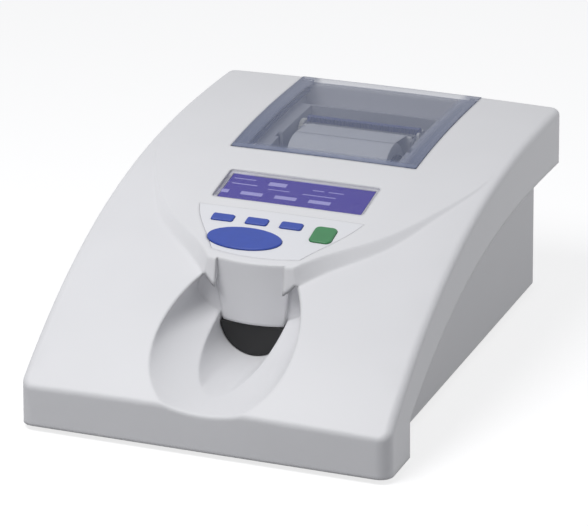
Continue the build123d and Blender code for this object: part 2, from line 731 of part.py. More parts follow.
def make_rack():
    """Teeth that point down, with a gap over the middle of the pinion at rest."""
    front, back = rack_span()
    root = RACK_PITCH_Z + 1.25 * GEAR_MODULE
    tip = RACK_PITCH_Z - GEAR_MODULE
    pitch = math.pi * GEAR_MODULE
    slope = math.tan(math.radians(20))
    wide = pitch / 4 - BACKLASH / 2 + 1.25 * GEAR_MODULE * slope
    slim = pitch / 4 - BACKLASH / 2 - GEAR_MODULE * slope
    points = [(front, root + RACK_T), (front, root)]
    tooth = PINION_Y - pitch / 2
    while tooth - pitch > front + wide:
        tooth -= pitch
    while tooth + wide < back:
        points += [(tooth - wide, root), (tooth - slim, tip), (tooth + slim, tip), (tooth + wide, root)]
        tooth += pitch
    points += [(back, root), (back, root + RACK_T)]
    return sideways(make_face(Polyline(*points, close=True)), RACK_HALF)


def make_pinion():
    half = PINION_WIDTH / 2
    gear = gear_x(PINION_TEETH, GEAR_MODULE, (-half, half), PINION_Y, pinion_z())
    hub = rod_x(2.5 * SHAFT_R, (half, half + 4), PINION_Y, pinion_z())
    return gear + hub - rod_x(SHAFT_R + SEAT_PLAY, (-half - 1, half + 5), PINION_Y, pinion_z())


def make_pinion_shaft():
    return rod_x(SHAFT_R, (-PINION_WIDTH / 2 - 1.5, MOTOR_PLATE_X + MOTOR_LENGTH / 3), PINION_Y, pinion_z())


def make_motor():
    start = MOTOR_PLATE_X + PLATE_T
    motor = rod_x(MOTOR_R, (start, start + MOTOR_LENGTH), PINION_Y, pinion_z())
    motor = chamfer(motor.edges().sort_by(Axis.X)[-1], 1.2)
    boss = rod_x(2.2 * SHAFT_R, (MOTOR_PLATE_X, start), PINION_Y, pinion_z())
    bore = rod_x(SHAFT_R + BORE_PLAY, (MOTOR_PLATE_X - 1, MOTOR_PLATE_X + MOTOR_LENGTH / 3 + 1), PINION_Y, pinion_z())
    return motor + boss - bore


def make_motor_bracket():
    x = (MOTOR_PLATE_X, MOTOR_PLATE_X + PLATE_T)
    y = (PINION_Y - MOTOR_R - 3, PINION_Y + MOTOR_R + 3)
    plate = block(x, y, (BASE_WALL, pinion_z() + MOTOR_R + 2))
    foot = block((MOTOR_PLATE_X, MOTOR_PLATE_X + MOTOR_LENGTH), y, (BASE_WALL, BASE_WALL + PLATE_T))
    return plate + foot - rod_x(2.2 * SHAFT_R + BORE_PLAY, (x[0] - 1, x[1] + 1), PINION_Y, pinion_z())


def tunnel_columns():
    return (MOUTH_Y + WALL + 6, TUNNEL_REAR - 20)


def make_tunnel():
    """The black liner behind the mouth: a half pipe with grooved rails and legs."""
    y = (MOUTH_Y + WALL + SEAM, TUNNEL_REAR)
    body = half_round(CHANNEL_R + TUNNEL_WALL, y, RAIL_TOP)
    body += block((-RAIL_HALF, RAIL_HALF), y, (TRAY_TOP - TRAY_EAR_T - 4, RAIL_TOP))
    for start in tunnel_columns():
        body += block((-RAIL_HALF, RAIL_HALF), (start, start + 4), (BASE_WALL, RAIL_TOP))
        body += block((-RAIL_HALF - 8, RAIL_HALF + 8), (start, start + 10), (BASE_WALL, BASE_WALL + 3))
    body -= rod_y(CHANNEL_R, 0, (0, DEPTH), CHANNEL_Z)
    body -= block((-CHANNEL_R, CHANNEL_R), (0, DEPTH), (CHANNEL_Z, DEPTH))
    groove = TRAY_R + TRAY_EAR + RUN
    body -= block((-groove, groove), (y[0] + 2, DEPTH), (TRAY_TOP - TRAY_EAR_T - RUN, TRAY_TOP + RUN))
    tooth_room = GEAR_MODULE * (PINION_TEETH / 2 + 1) + 1.5
    body -= block((-PINION_WIDTH, PINION_WIDTH + 3),
                  (PINION_Y - tooth_room, PINION_Y + tooth_room), (BASE_WALL + 4, CHANNEL_Z))
    for start in tunnel_columns():
        for x, y in tunnel_screw_places(start):
            body -= rod_z(SCREW_R, x, y, (0, BASE_WALL + 4))
    return body


def tunnel_screw_places(start):
    return [(side * (RAIL_HALF + 4), start + 7) for side in (-1, 1)]


def make_tunnel_screws():
    screws = []
    for start in tunnel_columns():
        for x, y in tunnel_screw_places(start):
            head = rod_z(2.0 * SCREW_R, x, y, (BASE_WALL + 3, BASE_WALL + 5))
            screws.append(head + rod_z(SCREW_R, x, y, (BASE_WALL, BASE_WALL + 3)))
    return Compound(children=screws)


def make_optical_head():
    """A closed light box that stands on the tunnel's rails and looks down at the strip."""
    y = HEAD_Y
    foot = block((-RAIL_HALF, RAIL_HALF), y, (RAIL_TOP, RAIL_TOP + 3))
    hood = block((-HEAD_HALF, HEAD_HALF), (y[0] + 4, y[1] - 4), (RAIL_TOP, HEAD_TOP))
    hood = fillet(hood.edges().filter_by(Axis.Z), 3.0)
    middle = (y[0] + y[1]) / 2
    sight = Pos(0, middle, (RAIL_TOP + HEAD_TOP) / 2) * Cone(HEAD_HALF / 1.6, LENS_R, HEAD_TOP - RAIL_TOP)
    return foot + hood - sight


def make_lens():
    middle = (HEAD_Y[0] + HEAD_Y[1]) / 2
    disc = rod_z(LENS_R, 0, middle, (HEAD_TOP, HEAD_TOP + 1.5))
    return chamfer(disc.edges().sort_by(Axis.Z)[-1], 0.5)


def make_optics_board():
    y = (HEAD_Y[0] + 2, HEAD_Y[1] - 2)
    board = block((-HEAD_HALF - 4, HEAD_HALF + 4), y, (HEAD_TOP, HEAD_TOP + BOARD_T))
    middle = (HEAD_Y[0] + HEAD_Y[1]) / 2
    board -= rod_z(LENS_R + SEAM, 0, middle, (HEAD_TOP - 1, HEAD_TOP + 3))
    chips = block((12, 22), (y[0] + 6, y[0] + 14), (HEAD_TOP + BOARD_T, HEAD_TOP + BOARD_T + 2))
    return board + chips


# ---- Printer bay ------------------------------------------------------------------------------
def make_bay():
    """A moulded tub that hangs under the lid's opening: a shelf all round and a deep well."""
    opening = LID_HALF - LEDGE - SEAM
    y = (LID_FRONT + LEDGE + SEAM, BEAM_FRONT - SEAM)
    flange_half = LID_HALF + FRAME_MARGIN - 1
    flange_y = (LID_FRONT - FRAME_MARGIN + 1, BEAM_FRONT - SEAM)
    flange_top = FRAME_DROP + SEAM / 3
    flange = block((-flange_half, flange_half), flange_y, (0, DEPTH)) & top_layer(
        TOP_LINE, flange_top, flange_top + BAY_FLANGE_T)
    tub = block((-opening, opening), y, (0, DEPTH)) & top_layer(
        TOP_LINE, flange_top, BAY_SHELF_DROP + BAY_WALL)
    tub += block((-opening, opening), (WELL_REAR, y[1]), (0, DEPTH)) & top_layer(
        TOP_LINE, flange_top, BAY_REAR_DROP + BAY_WALL)
    well = block((-WELL_HALF - BAY_WALL, WELL_HALF + BAY_WALL),
                 (WELL_FRONT - BAY_WALL, WELL_REAR + BAY_WALL), (WELL_FLOOR - BAY_WALL, DEPTH))
    well = well & under(TOP_LINE, BAY_SHELF_DROP)
    body = flange + tub + well
    inner = block((-opening + BAY_WALL, opening - BAY_WALL),
                  (y[0] + BAY_WALL, y[1] - BAY_WALL), (0, DEPTH)) - under(TOP_LINE, BAY_SHELF_DROP)
    body -= inner
    body -= block((-opening + BAY_WALL, opening - BAY_WALL),
                  (WELL_REAR + BAY_WALL, DEPTH), (0, DEPTH)) - under(TOP_LINE, BAY_REAR_DROP)
    body -= block((-WELL_HALF, WELL_HALF), (WELL_FRONT, WELL_REAR), (WELL_FLOOR, DEPTH))
    slot = SPINDLE_R + BORE_PLAY
    reach = WELL_HALF + BAY_WALL + 1
    body -= block((-reach, reach), (ROLL_Y - slot, ROLL_Y + slot), (ROLL_Z, DEPTH))
    body -= rod_x(slot, (-reach, reach), ROLL_Y, ROLL_Z)
    for x, y in both_sides(bay_screw_places()):
        body -= rod_z(SCREW_R, x, y, (WELL_FLOOR, DEPTH))
        body -= rod_z(BAY_SCREW_HEAD_R + SEAM, x, y, (WELL_FLOOR, bay_screw_seat(x, y)))
    return body


def bay_screw_places():
    x = LID_HALF + FRAME_MARGIN / 2 - 1
    return ((x, LID_FRONT + 12), (x, BEAM_FRONT - 14))


def bay_screw_seat(x, y):
    return surface_height(TOP_LINE, x, y) - FRAME_DROP - SEAM / 3 - BAY_FLANGE_T


def make_bay_screws():
    screws = []
    for x, y in both_sides(bay_screw_places()):
        seat = bay_screw_seat(x, y)
        head, tip = seat - 1.8, seat + BAY_FLANGE_T + BAY_SCREW_BITE
        screws.append(screw(x, y, head, tip, SCREW_R - SEAT_PLAY, BAY_SCREW_HEAD_R, 1.8))
    return Compound(children=screws)


def make_lid():
    y_axis, z_axis = lid_axis()
    plate = block((-LID_HALF, LID_HALF), (LID_FRONT, y_axis), (0, DEPTH))
    plate = plate & top_layer(TOP_LINE, -LID_PROUD, LID_DOWN)
    corners = plate.edges().filter_by(Axis.Z).sort_by(Axis.Y)[:2]
    plate = fillet(corners, 2.0)
    lid = plate + rod_x(LID_BARREL_R, (-LID_HALF, LID_HALF), y_axis, z_axis)
    ribs = top_layer(TOP_LINE, LID_DOWN - 0.5, LID_DOWN + LID_RIB)
    rib_y = (LID_FRONT + LEDGE + 3, BEAM_FRONT - 6)
    for side in (-1, 1):
        lid += ribs & block(sorted((side * LID_RIB_X, side * (LID_RIB_X + 2))), rib_y, (0, DEPTH))
    catch_y = (LID_FRONT + LEDGE + 3 * SEAM + 2, LID_FRONT + LEDGE + 3 * SEAM + 4)
    lid += ribs & block((-8, 8), catch_y, (0, DEPTH))
    for side in (-1, 1):
        reach = sorted((side * (LID_HALF - LID_PIN_LENGTH / 2 - 0.5), side * (LID_HALF + 1)))
        lid -= rod_x(LID_PIN_R + BORE_PLAY, reach, y_axis, z_axis)
    return lid


def make_lid_pins():
    y, z = lid_axis()
    pins = []
    for side in (-1, 1):
        reach = sorted((side * (LID_HALF - LID_PIN_LENGTH / 2), side * (LID_HALF + LID_PIN_LENGTH / 2)))
        pins.append(rod_x(LID_PIN_R, reach, y, z))
    return Compound(children=pins)


def make_roll():
    half = ROLL_WIDTH / 2
    paper = rod_x(ROLL_R, (-half, half), ROLL_Y, ROLL_Z)
    paper = chamfer(paper.edges().filter_by(GeomType.CIRCLE), 0.3)
    return paper - rod_x(CORE_R + SEAT_PLAY, (-half - 1, half + 1), ROLL_Y, ROLL_Z)


def make_core():
    half = ROLL_WIDTH / 2
    return rod_x(CORE_R, (-half, half), ROLL_Y, ROLL_Z) - rod_x(
        CORE_R - CORE_T, (-half - 1, half + 1), ROLL_Y, ROLL_Z)


def make_hubs():
    hubs = []
    half = ROLL_WIDTH / 2
    for side in (-1, 1):
        flange = rod_x(HUB_FLANGE_R, sorted((side * half, side * (half + HUB_T))), ROLL_Y, ROLL_Z)
        reach = sorted((side * (half - 8), side * (half + 1)))
        plug = rod_x(CORE_R - CORE_T - SEAT_PLAY, reach, ROLL_Y, ROLL_Z)
        bore = rod_x(SPINDLE_R + BORE_PLAY, (-half - 10, half + 10), ROLL_Y, ROLL_Z)
        hubs.append(flange + plug - bore)
    return Compound(children=hubs)


def make_spindle():
    half = WELL_HALF + BAY_WALL
    return rod_x(SPINDLE_R, (-half, half), ROLL_Y, ROLL_Z)


def feed_axis():
    reach = FEED_MODULE * (PLATEN_TEETH + FEED_TEETH) / 2
    angle = math.radians(FEED_ANGLE)
    return PLATEN_Y + reach * math.cos(angle), PLATEN_Z - reach * math.sin(angle)


def make_printer_frame():
    """Two side plates on a floor plate, with the platen's bearings and the motor's seat."""
    frame = block((-MECH_HALF - PLATE_T, MECH_HALF + PLATE_T), MECH_Y, (WELL_FLOOR, WELL_FLOOR + PLATE_T))
    corner = MECH_Y[1] - 8
    for side in (-1, 1):
        x = sorted((side * MECH_HALF, side * (MECH_HALF + PLATE_T)))
        plate = block(x, MECH_Y, (WELL_FLOOR, MECH_TOP))
        plate -= block(x, (corner, MECH_Y[1]), (MECH_TOP - 14, MECH_TOP))
        frame += plate
    reach = MECH_HALF + PLATE_T + 1
    frame -= rod_x(PLATEN_SHAFT_R + BORE_PLAY, (-reach, reach), PLATEN_Y, PLATEN_Z)
    y, z = feed_axis()
    frame -= rod_x(2.6, (-reach, 0), y, z)
    frame -= rod_x(SHAFT_R + BORE_PLAY, (0, reach), LEVER_Y, LEVER_Z)
    return frame


def make_platen():
    half = MECH_HALF - 1.5
    return rod_x(PLATEN_R, (-half, half), PLATEN_Y, PLATEN_Z) - rod_x(
        PLATEN_SHAFT_R + SEAT_PLAY, (-half - 1, half + 1), PLATEN_Y, PLATEN_Z)


def make_platen_shaft():
    return rod_x(PLATEN_SHAFT_R, (FEED_GEAR_X, MECH_HALF + PLATE_T), PLATEN_Y, PLATEN_Z)


def make_platen_gear():
    x = (FEED_GEAR_X, FEED_GEAR_X + FEED_GEAR_W)
    turn = -90.0 - FEED_ANGLE
    gear = gear_x(PLATEN_TEETH, FEED_MODULE, x, PLATEN_Y, PLATEN_Z, turn)
    return gear - rod_x(PLATEN_SHAFT_R + SEAT_PLAY, (x[0] - 1, x[1] + 1), PLATEN_Y, PLATEN_Z)


def make_feed_gear():
    """The motor's gear, with a tooth gap towards the platen's gear."""
    x = (FEED_GEAR_X, FEED_GEAR_X + FEED_GEAR_W)
    y, z = feed_axis()
    turn = 90.0 - FEED_ANGLE + 180.0 / FEED_TEETH
    gear = gear_x(FEED_TEETH, FEED_MODULE, x, y, z, turn)
    return gear + rod_x(FEED_SHAFT_R, (x[1], -MECH_HALF + 12), y, z)


def make_printer_motor():
    y, z = feed_axis()
    motor = rod_x(FEED_MOTOR_R, (-MECH_HALF, -MECH_HALF + FEED_MOTOR_LENGTH), y, z)
    motor = chamfer(motor.edges().sort_by(Axis.X)[-1], 1.0)
    return motor - rod_x(FEED_SHAFT_R + BORE_PLAY, (-MECH_HALF - 1, -MECH_HALF + 13), y, z)


def make_thermal_head():
    front = PLATEN_Y - PLATEN_R - HEAD_GAP
    plate = block((-MECH_HALF + 2, MECH_HALF - 2), (front - HEAD_T, front), (PLATEN_Z - 12, PLATEN_Z + 4))
    return chamfer(plate.edges().filter_by(Axis.X).sort_by(Axis.Z)[-2:], 0.8)


def make_paper_guide():
    """A pale moulding in front of the print head, with a rounded top that the paper runs over."""
    rear = PLATEN_Y - PLATEN_R - HEAD_GAP - HEAD_T
    half = MECH_HALF - SEAM
    back = block((-half, half), (rear - GUIDE_T, rear), (PLATEN_Z - 14, MECH_TOP + GUIDE_RISE))
    back = fillet(back.edges().filter_by(Axis.X).sort_by(Axis.Z)[-2:], GUIDE_T / 2 - 0.1)
    foot = block((-half, half), (rear - 6, rear), (PLATEN_Z - 15.5, PLATEN_Z - 14))
    return back + foot


def web_path():
    """The underside of the paper: off the top of the roll, over the guide, down to the platen."""
    rear = PLATEN_Y - PLATEN_R - HEAD_GAP - HEAD_T
    crest_y, crest_z = rear - GUIDE_T / 2, MECH_TOP + GUIDE_RISE + WEB_GAP
    radius = ROLL_R + WEB_GAP
    across, up = crest_y - ROLL_Y, crest_z - ROLL_Z
    angle = math.atan2(up, across) + math.acos(radius / math.hypot(across, up))
    leave = (ROLL_Y + radius * math.cos(angle), ROLL_Z + radius * math.sin(angle))
    bend = (rear + WEB_GAP, crest_z - GUIDE_T / 4)
    end = (rear + HEAD_T + HEAD_GAP / 2, PLATEN_Z + PLATEN_R)
    return [leave, (crest_y, crest_z), bend, end]


def make_web():
    path = web_path()
    upper = []
    for i, (y, z) in enumerate(path):
        (ya, za), (yb, zb) = path[max(i - 1, 0)], path[min(i + 1, len(path) - 1)]
        run = math.hypot(yb - ya, zb - za)
        upper.append((y - WEB_T * (zb - za) / run, z + WEB_T * (yb - ya) / run))
    return sideways(make_face(Polyline(*path, *upper[::-1], close=True)), ROLL_WIDTH / 2 - WEB_GAP)


def make_tear_bar():
    """The dark bar over the paper's way out, with a row of fine teeth along its front."""
    rear = PLATEN_Y + 2 + BAR_D
    front = rear - BAR_D
    points = [(-BAR_HALF, rear), (-BAR_HALF, front)]
    tooth = 2 * MECH_HALF / BAR_TEETH
    for i in range(BAR_TEETH):
        x = -MECH_HALF + tooth * i
        points += [(x, front), (x + tooth / 2, front - 0.9 * tooth)]
    points += [(MECH_HALF, front), (BAR_HALF, front), (BAR_HALF, rear)]
    bar = extrude(Pos(0, 0, MECH_TOP) * make_face(Polyline(*points, close=True)), amount=BAR_T)
    return chamfer(bar.edges().filter_by(Axis.X).sort_by(Axis.Z)[-1], 1.5)


def make_lever():
    """Lifts the print head off the paper; it turns on a stub in the right side plate."""
    outer = MECH_HALF + PLATE_T
    hub = rod_x(4.0, (outer + SEAM, outer + 4.2), LEVER_Y, LEVER_Z)
    stub = rod_x(SHAFT_R, (MECH_HALF, outer + SEAM), LEVER_Y, LEVER_Z)
    arm = block((outer + 2.2, outer + 4.2), (LEVER_Y - 2.4, LEVER_Y + 2.4), (LEVER_Z, LEVER_Z + LEVER_LENGTH))
    arm = fillet(arm.edges().filter_by(Axis.X).sort_by(Axis.Z)[-2:], 2.0)
    return hub + stub + arm


# ---- Boards, supply and sockets ------------------------------------------------------------------
def board_corners():
    return [(x, y) for x in (MAIN_X[0] + 5, MAIN_X[1] - 5) for y in (MAIN_Y[0] + 5, MAIN_Y[1] - 5)]


def board_level():
    return BASE_WALL + STANDOFF


def make_main_board():
    board = block(MAIN_X, MAIN_Y, (board_level(), board_level() + BOARD_T))
    for x, y in board_corners():
        board -= rod_z(SCREW_R, x, y, (0, DEPTH))
    return board


def make_board_parts():
    """Chips, connectors and tall capacitors, standing on the main board."""
    top = board_level() + BOARD_T
    parts = []
    left, front = MAIN_X[0], MAIN_Y[0]
    for x, y, w, d, h in ((34, 65, 22, 22, 2.5), (16, 105, 12, 26, 3), (49, 112, 12, 22, 3),
                          (12, 40, 8, 30, 9), (54, 45, 8, 24, 9), (30, 150, 28, 12, 2.5)):
        x, y = left + x, front + y
        parts.append(block((x - w / 2, x + w / 2), (y - d / 2, y + d / 2), (top, top + h)))
    for i in range(4):
        parts.append(rod_z(5.0, left + 14 + 14 * i, front + 190, (top, top + 14)))
    return Compound(children=parts)


def make_board_screws():
    top = board_level() + BOARD_T
    screws = []
    for x, y in board_corners():
        head = rod_z(2.8, x, y, (top, top + 1.8))
        screws.append(head + rod_z(SCREW_R / 2, x, y, (board_level() - 5, top)))
    return Compound(children=screws)


def make_transformer_core():
    """Stacked iron with two windows for the coil."""
    w, d, h = CORE_BLOCK
    z = (BASE_WALL, BASE_WALL + h)
    core = block((CORE_X - w / 2, CORE_X + w / 2), (CORE_Y - d / 2, CORE_Y + d / 2), z)
    for side in (-1, 1):
        x = CORE_X + side * w / 4
        core -= block((x - w / 12, x + w / 12), (CORE_Y - d, CORE_Y + d), (z[0] + w / 6, z[1] - w / 6))
    return core


def make_transformer_coil():
    w, d, h = CORE_BLOCK
    z = (BASE_WALL + w / 6 + SEAM, BASE_WALL + h - w / 6 - SEAM)
    outer = block((CORE_X - w / 3 + SEAM, CORE_X + w / 3 - SEAM), (CORE_Y - d / 2 - 9, CORE_Y + d / 2 + 9), z)
    outer = fillet(outer.edges().filter_by(Axis.Z), 6.0)
    middle = w / 6 + SEAM
    return outer - block((CORE_X - middle, CORE_X + middle), (CORE_Y - d / 2 - SEAM, CORE_Y + d / 2 + SEAM), (0, DEPTH))


def rear_y(z):
    """The rear face leans in by the draft."""
    return DEPTH - z * math.tan(math.radians(DRAFT))


def rear_cuts():
    return [
        block((INLET_X - INLET_W / 2, INLET_X + INLET_W / 2), (DEPTH - 20, DEPTH + 1),
              (SOCKET_Z - INLET_H / 2, SOCKET_Z + INLET_H / 2)),
        block((SWITCH_X - ROCKER_W / 2 - 1.5, SWITCH_X + ROCKER_W / 2 + 1.5), (DEPTH - 20, DEPTH + 1),
              (SOCKET_Z - ROCKER_H / 2 - 1.5, SOCKET_Z + ROCKER_H / 2 + 1.5)),
        block((SERIAL_X - 15.4, SERIAL_X + 15.4), (DEPTH - 20, DEPTH + 1), (SOCKET_Z - 6.25, SOCKET_Z + 6.25)),
    ]


def make_inlet():
    """A three-pin appliance inlet, flush with the rear face."""
    face = rear_y(SOCKET_Z + INLET_H)
    w, h = INLET_W / 2 - SEAM / 3, INLET_H / 2 - SEAM / 3
    body = block((INLET_X - w, INLET_X + w), (face - INLET_DEEP - 3, face), (SOCKET_Z - h, SOCKET_Z + h))
    hole = RectangleRounded(2 * w - 3, 2 * h - 3, 3)
    cut = Plane.XZ.offset(-face) * Pos(INLET_X, SOCKET_Z) * hole
    return body - extrude(cut, amount=INLET_DEEP)


def make_inlet_pins():
    face = rear_y(SOCKET_Z + INLET_H)
    pins = []
    for x, z in ((-7, -2), (0, 2), (7, -2)):
        pins.append(block((INLET_X + x - 1, INLET_X + x + 1), (face - INLET_DEEP, face - 5),
                          (SOCKET_Z + z - 2, SOCKET_Z + z + 2)))
    return Compound(children=pins)


def make_switch_frame():
    face = rear_y(SOCKET_Z + INLET_H)
    w, h = ROCKER_W / 2 + 1.5 - SEAM / 3, ROCKER_H / 2 + 1.5 - SEAM / 3
    body = block((SWITCH_X - w, SWITCH_X + w), (face - 14, face), (SOCKET_Z - h, SOCKET_Z + h))
    room = block((SWITCH_X - ROCKER_W / 2, SWITCH_X + ROCKER_W / 2), (face - 12, face + 1),
                 (SOCKET_Z - ROCKER_H / 2, SOCKET_Z + ROCKER_H / 2))
    pin = rod_x(1.2, (SWITCH_X - w, SWITCH_X + w), face - 4, SOCKET_Z)
    return body - room + pin


def make_rocker():
    """Its face is bent inwards at the middle; at rest its lower half is pressed."""
    face = rear_y(SOCKET_Z + INLET_H)
    h = ROCKER_H / 2 - 1.6
    points = [(-4.5, -h), (3.0, -h), (1.6, 0), (3.0, h), (-4.5, h)]
    outline = make_face(Polyline(*points, close=True)) - Circle(1.2 + BORE_PLAY)
    body = extrude(outline, amount=ROCKER_W / 2 - 0.4, both=True)
    plane = Plane(origin=(SWITCH_X, face - 4, SOCKET_Z), x_dir=(0, 1, 0), z_dir=(1, 0, 0))
    return plane * Rot(Z=-ROCKER_TILT) * body


def make_serial_port():
    face = rear_y(SOCKET_Z + INLET_H)
    body = block((SERIAL_X - 15.3, SERIAL_X + 15.3), (face - 10, face - 1.0), (SOCKET_Z - 6.1, SOCKET_Z + 6.1))
    shell = Polyline((-8.4, 4), (8.4, 4), (7.2, -4), (-7.2, -4), close=True)
    d_face = fillet(make_face(shell).vertices(), 1.6)
    nose_part = extrude(Plane.XZ.offset(-(face - 1.0)) * Pos(SERIAL_X, SOCKET_Z) * d_face, amount=-0.9)
    return body + nose_part


# ---- Export -----------------------------------------------------------------------------------------
def save(name, shape):
    solids = [Pos(0, -DEPTH / 2, FOOT_HEIGHT) * solid for solid in shape.solids()]
    export_step(Compound(solids) if len(solids) > 1 else solids[0], os.path.join("parts", name + ".step"))


def main():
    os.makedirs("parts", exist_ok=True)
    prepare()
    makers = {
        "top_cover": make_cover,
        "base_housing": make_base,
        "rubber_feet": make_feet,
        "case_screws": make_case_screws,
        "display_window": make_window,
        "lcd_bezel": make_bezel,
        "lcd_glass": make_glass,
        "lcd_backlight": make_backlight,
        "lcd_board": make_lcd_board,
        "keypad_panel": make_panel,
        "key_board": make_key_board,
        "key_switches": make_key_switches,
        "strip_tray": make_tray,
        "strip_holder": make_strip_holder,
        "white_reference": make_reference,
        "tray_rack": make_rack,
        "tray_pinion": make_pinion,
        "pinion_shaft": make_pinion_shaft,
        "tray_motor": make_motor,
        "motor_bracket": make_motor_bracket,
        "tray_tunnel": make_tunnel,
        "tunnel_screws": make_tunnel_screws,
        "optical_head": make_optical_head,
        "head_lens": make_lens,
        "optics_board": make_optics_board,
        "paper_bay": make_bay,
        "bay_screws": make_bay_screws,
        "printer_lid": make_lid,
        "lid_pins": make_lid_pins,
        "paper_roll": make_roll,
        "roll_core": make_core,
        "roll_hubs": make_hubs,
        "paper_spindle": make_spindle,
        "printer_frame": make_printer_frame,
        "platen_roller": make_platen,
        "platen_shaft": make_platen_shaft,
        "platen_gear": make_platen_gear,
        "feed_gear": make_feed_gear,
        "printer_motor": make_printer_motor,
        "thermal_head": make_thermal_head,
        "paper_guide": make_paper_guide,
        "paper_web": make_web,
        "tear_bar": make_tear_bar,
        "release_lever": make_lever,
        "main_board": make_main_board,
        "board_parts": make_board_parts,
        "board_screws": make_board_screws,
        "transformer_core": make_transformer_core,
        "transformer_coil": make_transformer_coil,
        "power_inlet": make_inlet,
        "inlet_pins": make_inlet_pins,
        "switch_frame": make_switch_frame,
        "power_rocker": make_rocker,
        "serial_port": make_serial_port,
    }
    for name, make in makers.items():
        save(name, make())
    for key in SHARED["keys"]:
        save(key[0], make_key(key))


main()
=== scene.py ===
# %% [markdown]
# # A desk-top urine analyzer
# The machine reads test strips that lie on a tray in front, and prints the result on a paper
# roll under a clear lid. Its solid pieces come from the CAD frame, in metres, and stay as they
# are. This lesson gives them their finishes, adds the small things that the solids leave out,
# and sets up the light, the floor and the camera.

# %% Load the frame
import json
import math

import bmesh
import bpy
from mathutils import Matrix, Vector


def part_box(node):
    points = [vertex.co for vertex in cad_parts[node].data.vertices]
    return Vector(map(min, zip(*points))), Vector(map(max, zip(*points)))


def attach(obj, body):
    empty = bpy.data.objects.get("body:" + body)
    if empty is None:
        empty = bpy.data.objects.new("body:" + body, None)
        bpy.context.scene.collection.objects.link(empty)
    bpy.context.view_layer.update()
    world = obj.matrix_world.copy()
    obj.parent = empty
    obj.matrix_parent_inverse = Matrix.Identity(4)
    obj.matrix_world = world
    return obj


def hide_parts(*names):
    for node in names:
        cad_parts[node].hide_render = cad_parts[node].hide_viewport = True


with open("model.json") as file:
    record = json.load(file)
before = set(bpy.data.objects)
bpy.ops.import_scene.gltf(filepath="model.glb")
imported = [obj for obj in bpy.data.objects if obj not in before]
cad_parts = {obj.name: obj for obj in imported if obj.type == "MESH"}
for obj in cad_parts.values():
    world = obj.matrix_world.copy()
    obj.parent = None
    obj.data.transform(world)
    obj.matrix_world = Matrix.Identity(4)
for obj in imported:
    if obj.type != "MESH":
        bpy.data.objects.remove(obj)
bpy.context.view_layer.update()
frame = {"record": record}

MM = 0.001
RECORD = frame["record"]
SLOT_OF = {part["node"]: part["material_slot"] for part in RECORD["subparts"]}
print("nodes in the frame:", len(SLOT_OF))

# %% [markdown]
# ## Writing shader maths as plain expressions
# A finish is a network of nodes. Drawing it node by node is long and hard to read. Here one
# small class wraps a socket, so that `0.4 + 0.1 * grain` adds the Math nodes by itself, and
# one method makes every other node.


# %% A socket that does arithmetic
class Signal:
    """A number that changes over a surface."""

    def __init__(self, finish, socket):
        self.finish, self.socket = finish, socket

    def math(self, operation, *values):
        return self.finish.node("ShaderNodeMath", {"operation": operation}, *values)

    def __add__(self, other):
        return self.math("ADD", self, other)

    def __sub__(self, other):
        return self.math("SUBTRACT", self, other)

    def __rsub__(self, other):
        return self.math("SUBTRACT", other, self)

    def __mul__(self, other):
        return self.math("MULTIPLY", self, other)

    def __gt__(self, other):
        return self.math("GREATER_THAN", self, other)

    __radd__, __rmul__ = __add__, __mul__

    def clamped(self):
        return self.math("MINIMUM", self.math("MAXIMUM", self, 0.0), 1.0)


# %% A finish and its one node-making method
class Finish:
    """One material, named for what it is on the machine."""

    def __init__(self, name):
        self.material = bpy.data.materials.new(name)
        self.material.use_nodes = True
        self.tree = self.material.node_tree
        self.shader = self.tree.nodes["Principled BSDF"]

    def fill(self, socket, value):
        if isinstance(value, Signal):
            self.tree.links.new(value.socket, socket)
        elif socket.type == "RGBA" and len(value) == 3:
            socket.default_value = (*value, 1.0)
        else:
            socket.default_value = value

    def node(self, kind, settings, *values, output=0, **named):
        made = self.tree.nodes.new(kind)
        for key, setting in settings.items():
            setattr(made, key, setting)
        for i, value in enumerate(values):
            self.fill(made.inputs[i], value)
        for key, value in named.items():
            self.fill(made.inputs[key.replace("_", " ")], value)
        return Signal(self, made.outputs[output])

    def place(self):
        return self.node("ShaderNodeTexCoord", {}, output="Object")

    def axis(self, letter):
        return self.node("ShaderNodeSeparateXYZ", {}, self.place(), output=letter)

    def noise(self, size_mm, detail=2.0):
        fineness = 1 / (size_mm * MM)
        return self.node("ShaderNodeTexNoise", {}, Vector=self.place(), Scale=fineness, Detail=detail)

    def blend(self, factor, low, high):
        mix = self.tree.nodes.new("ShaderNodeMix")
        mix.data_type = "RGBA"
        self.fill(mix.inputs["Factor"], factor)
        self.fill(mix.inputs[6], low)
        self.fill(mix.inputs[7], high)
        return Signal(self, mix.outputs[2])

    def bump(self, height, depth_mm, strength=1.0, normal=None):
        named = {"Height": height, "Distance": depth_mm * MM, "Strength": strength}
        if normal is not None:
            named["Normal"] = normal
        return self.node("ShaderNodeBump", {}, **named)

    def soft_edges(self, radius_mm):
        return self.node("ShaderNodeBevel", {"samples": 6}, Radius=radius_mm * MM)

    def surface(self, **named):
        for key, value in named.items():
            self.fill(self.shader.inputs[key.replace("_", " ")], value)
        return self.material


FINISHES = {}
print("shader helpers ready")

# %% [markdown]
# ## The moulded housing
# The covers are injection-moulded plastic with a fine spark-eroded grain. From a step away the
# grain only softens the highlights, so it is a very small bump and a small change of
# roughness. A slow cloudiness keeps the big faces from looking computed, and a rounded
# shading of the edges stands for the radius that every moulding has.


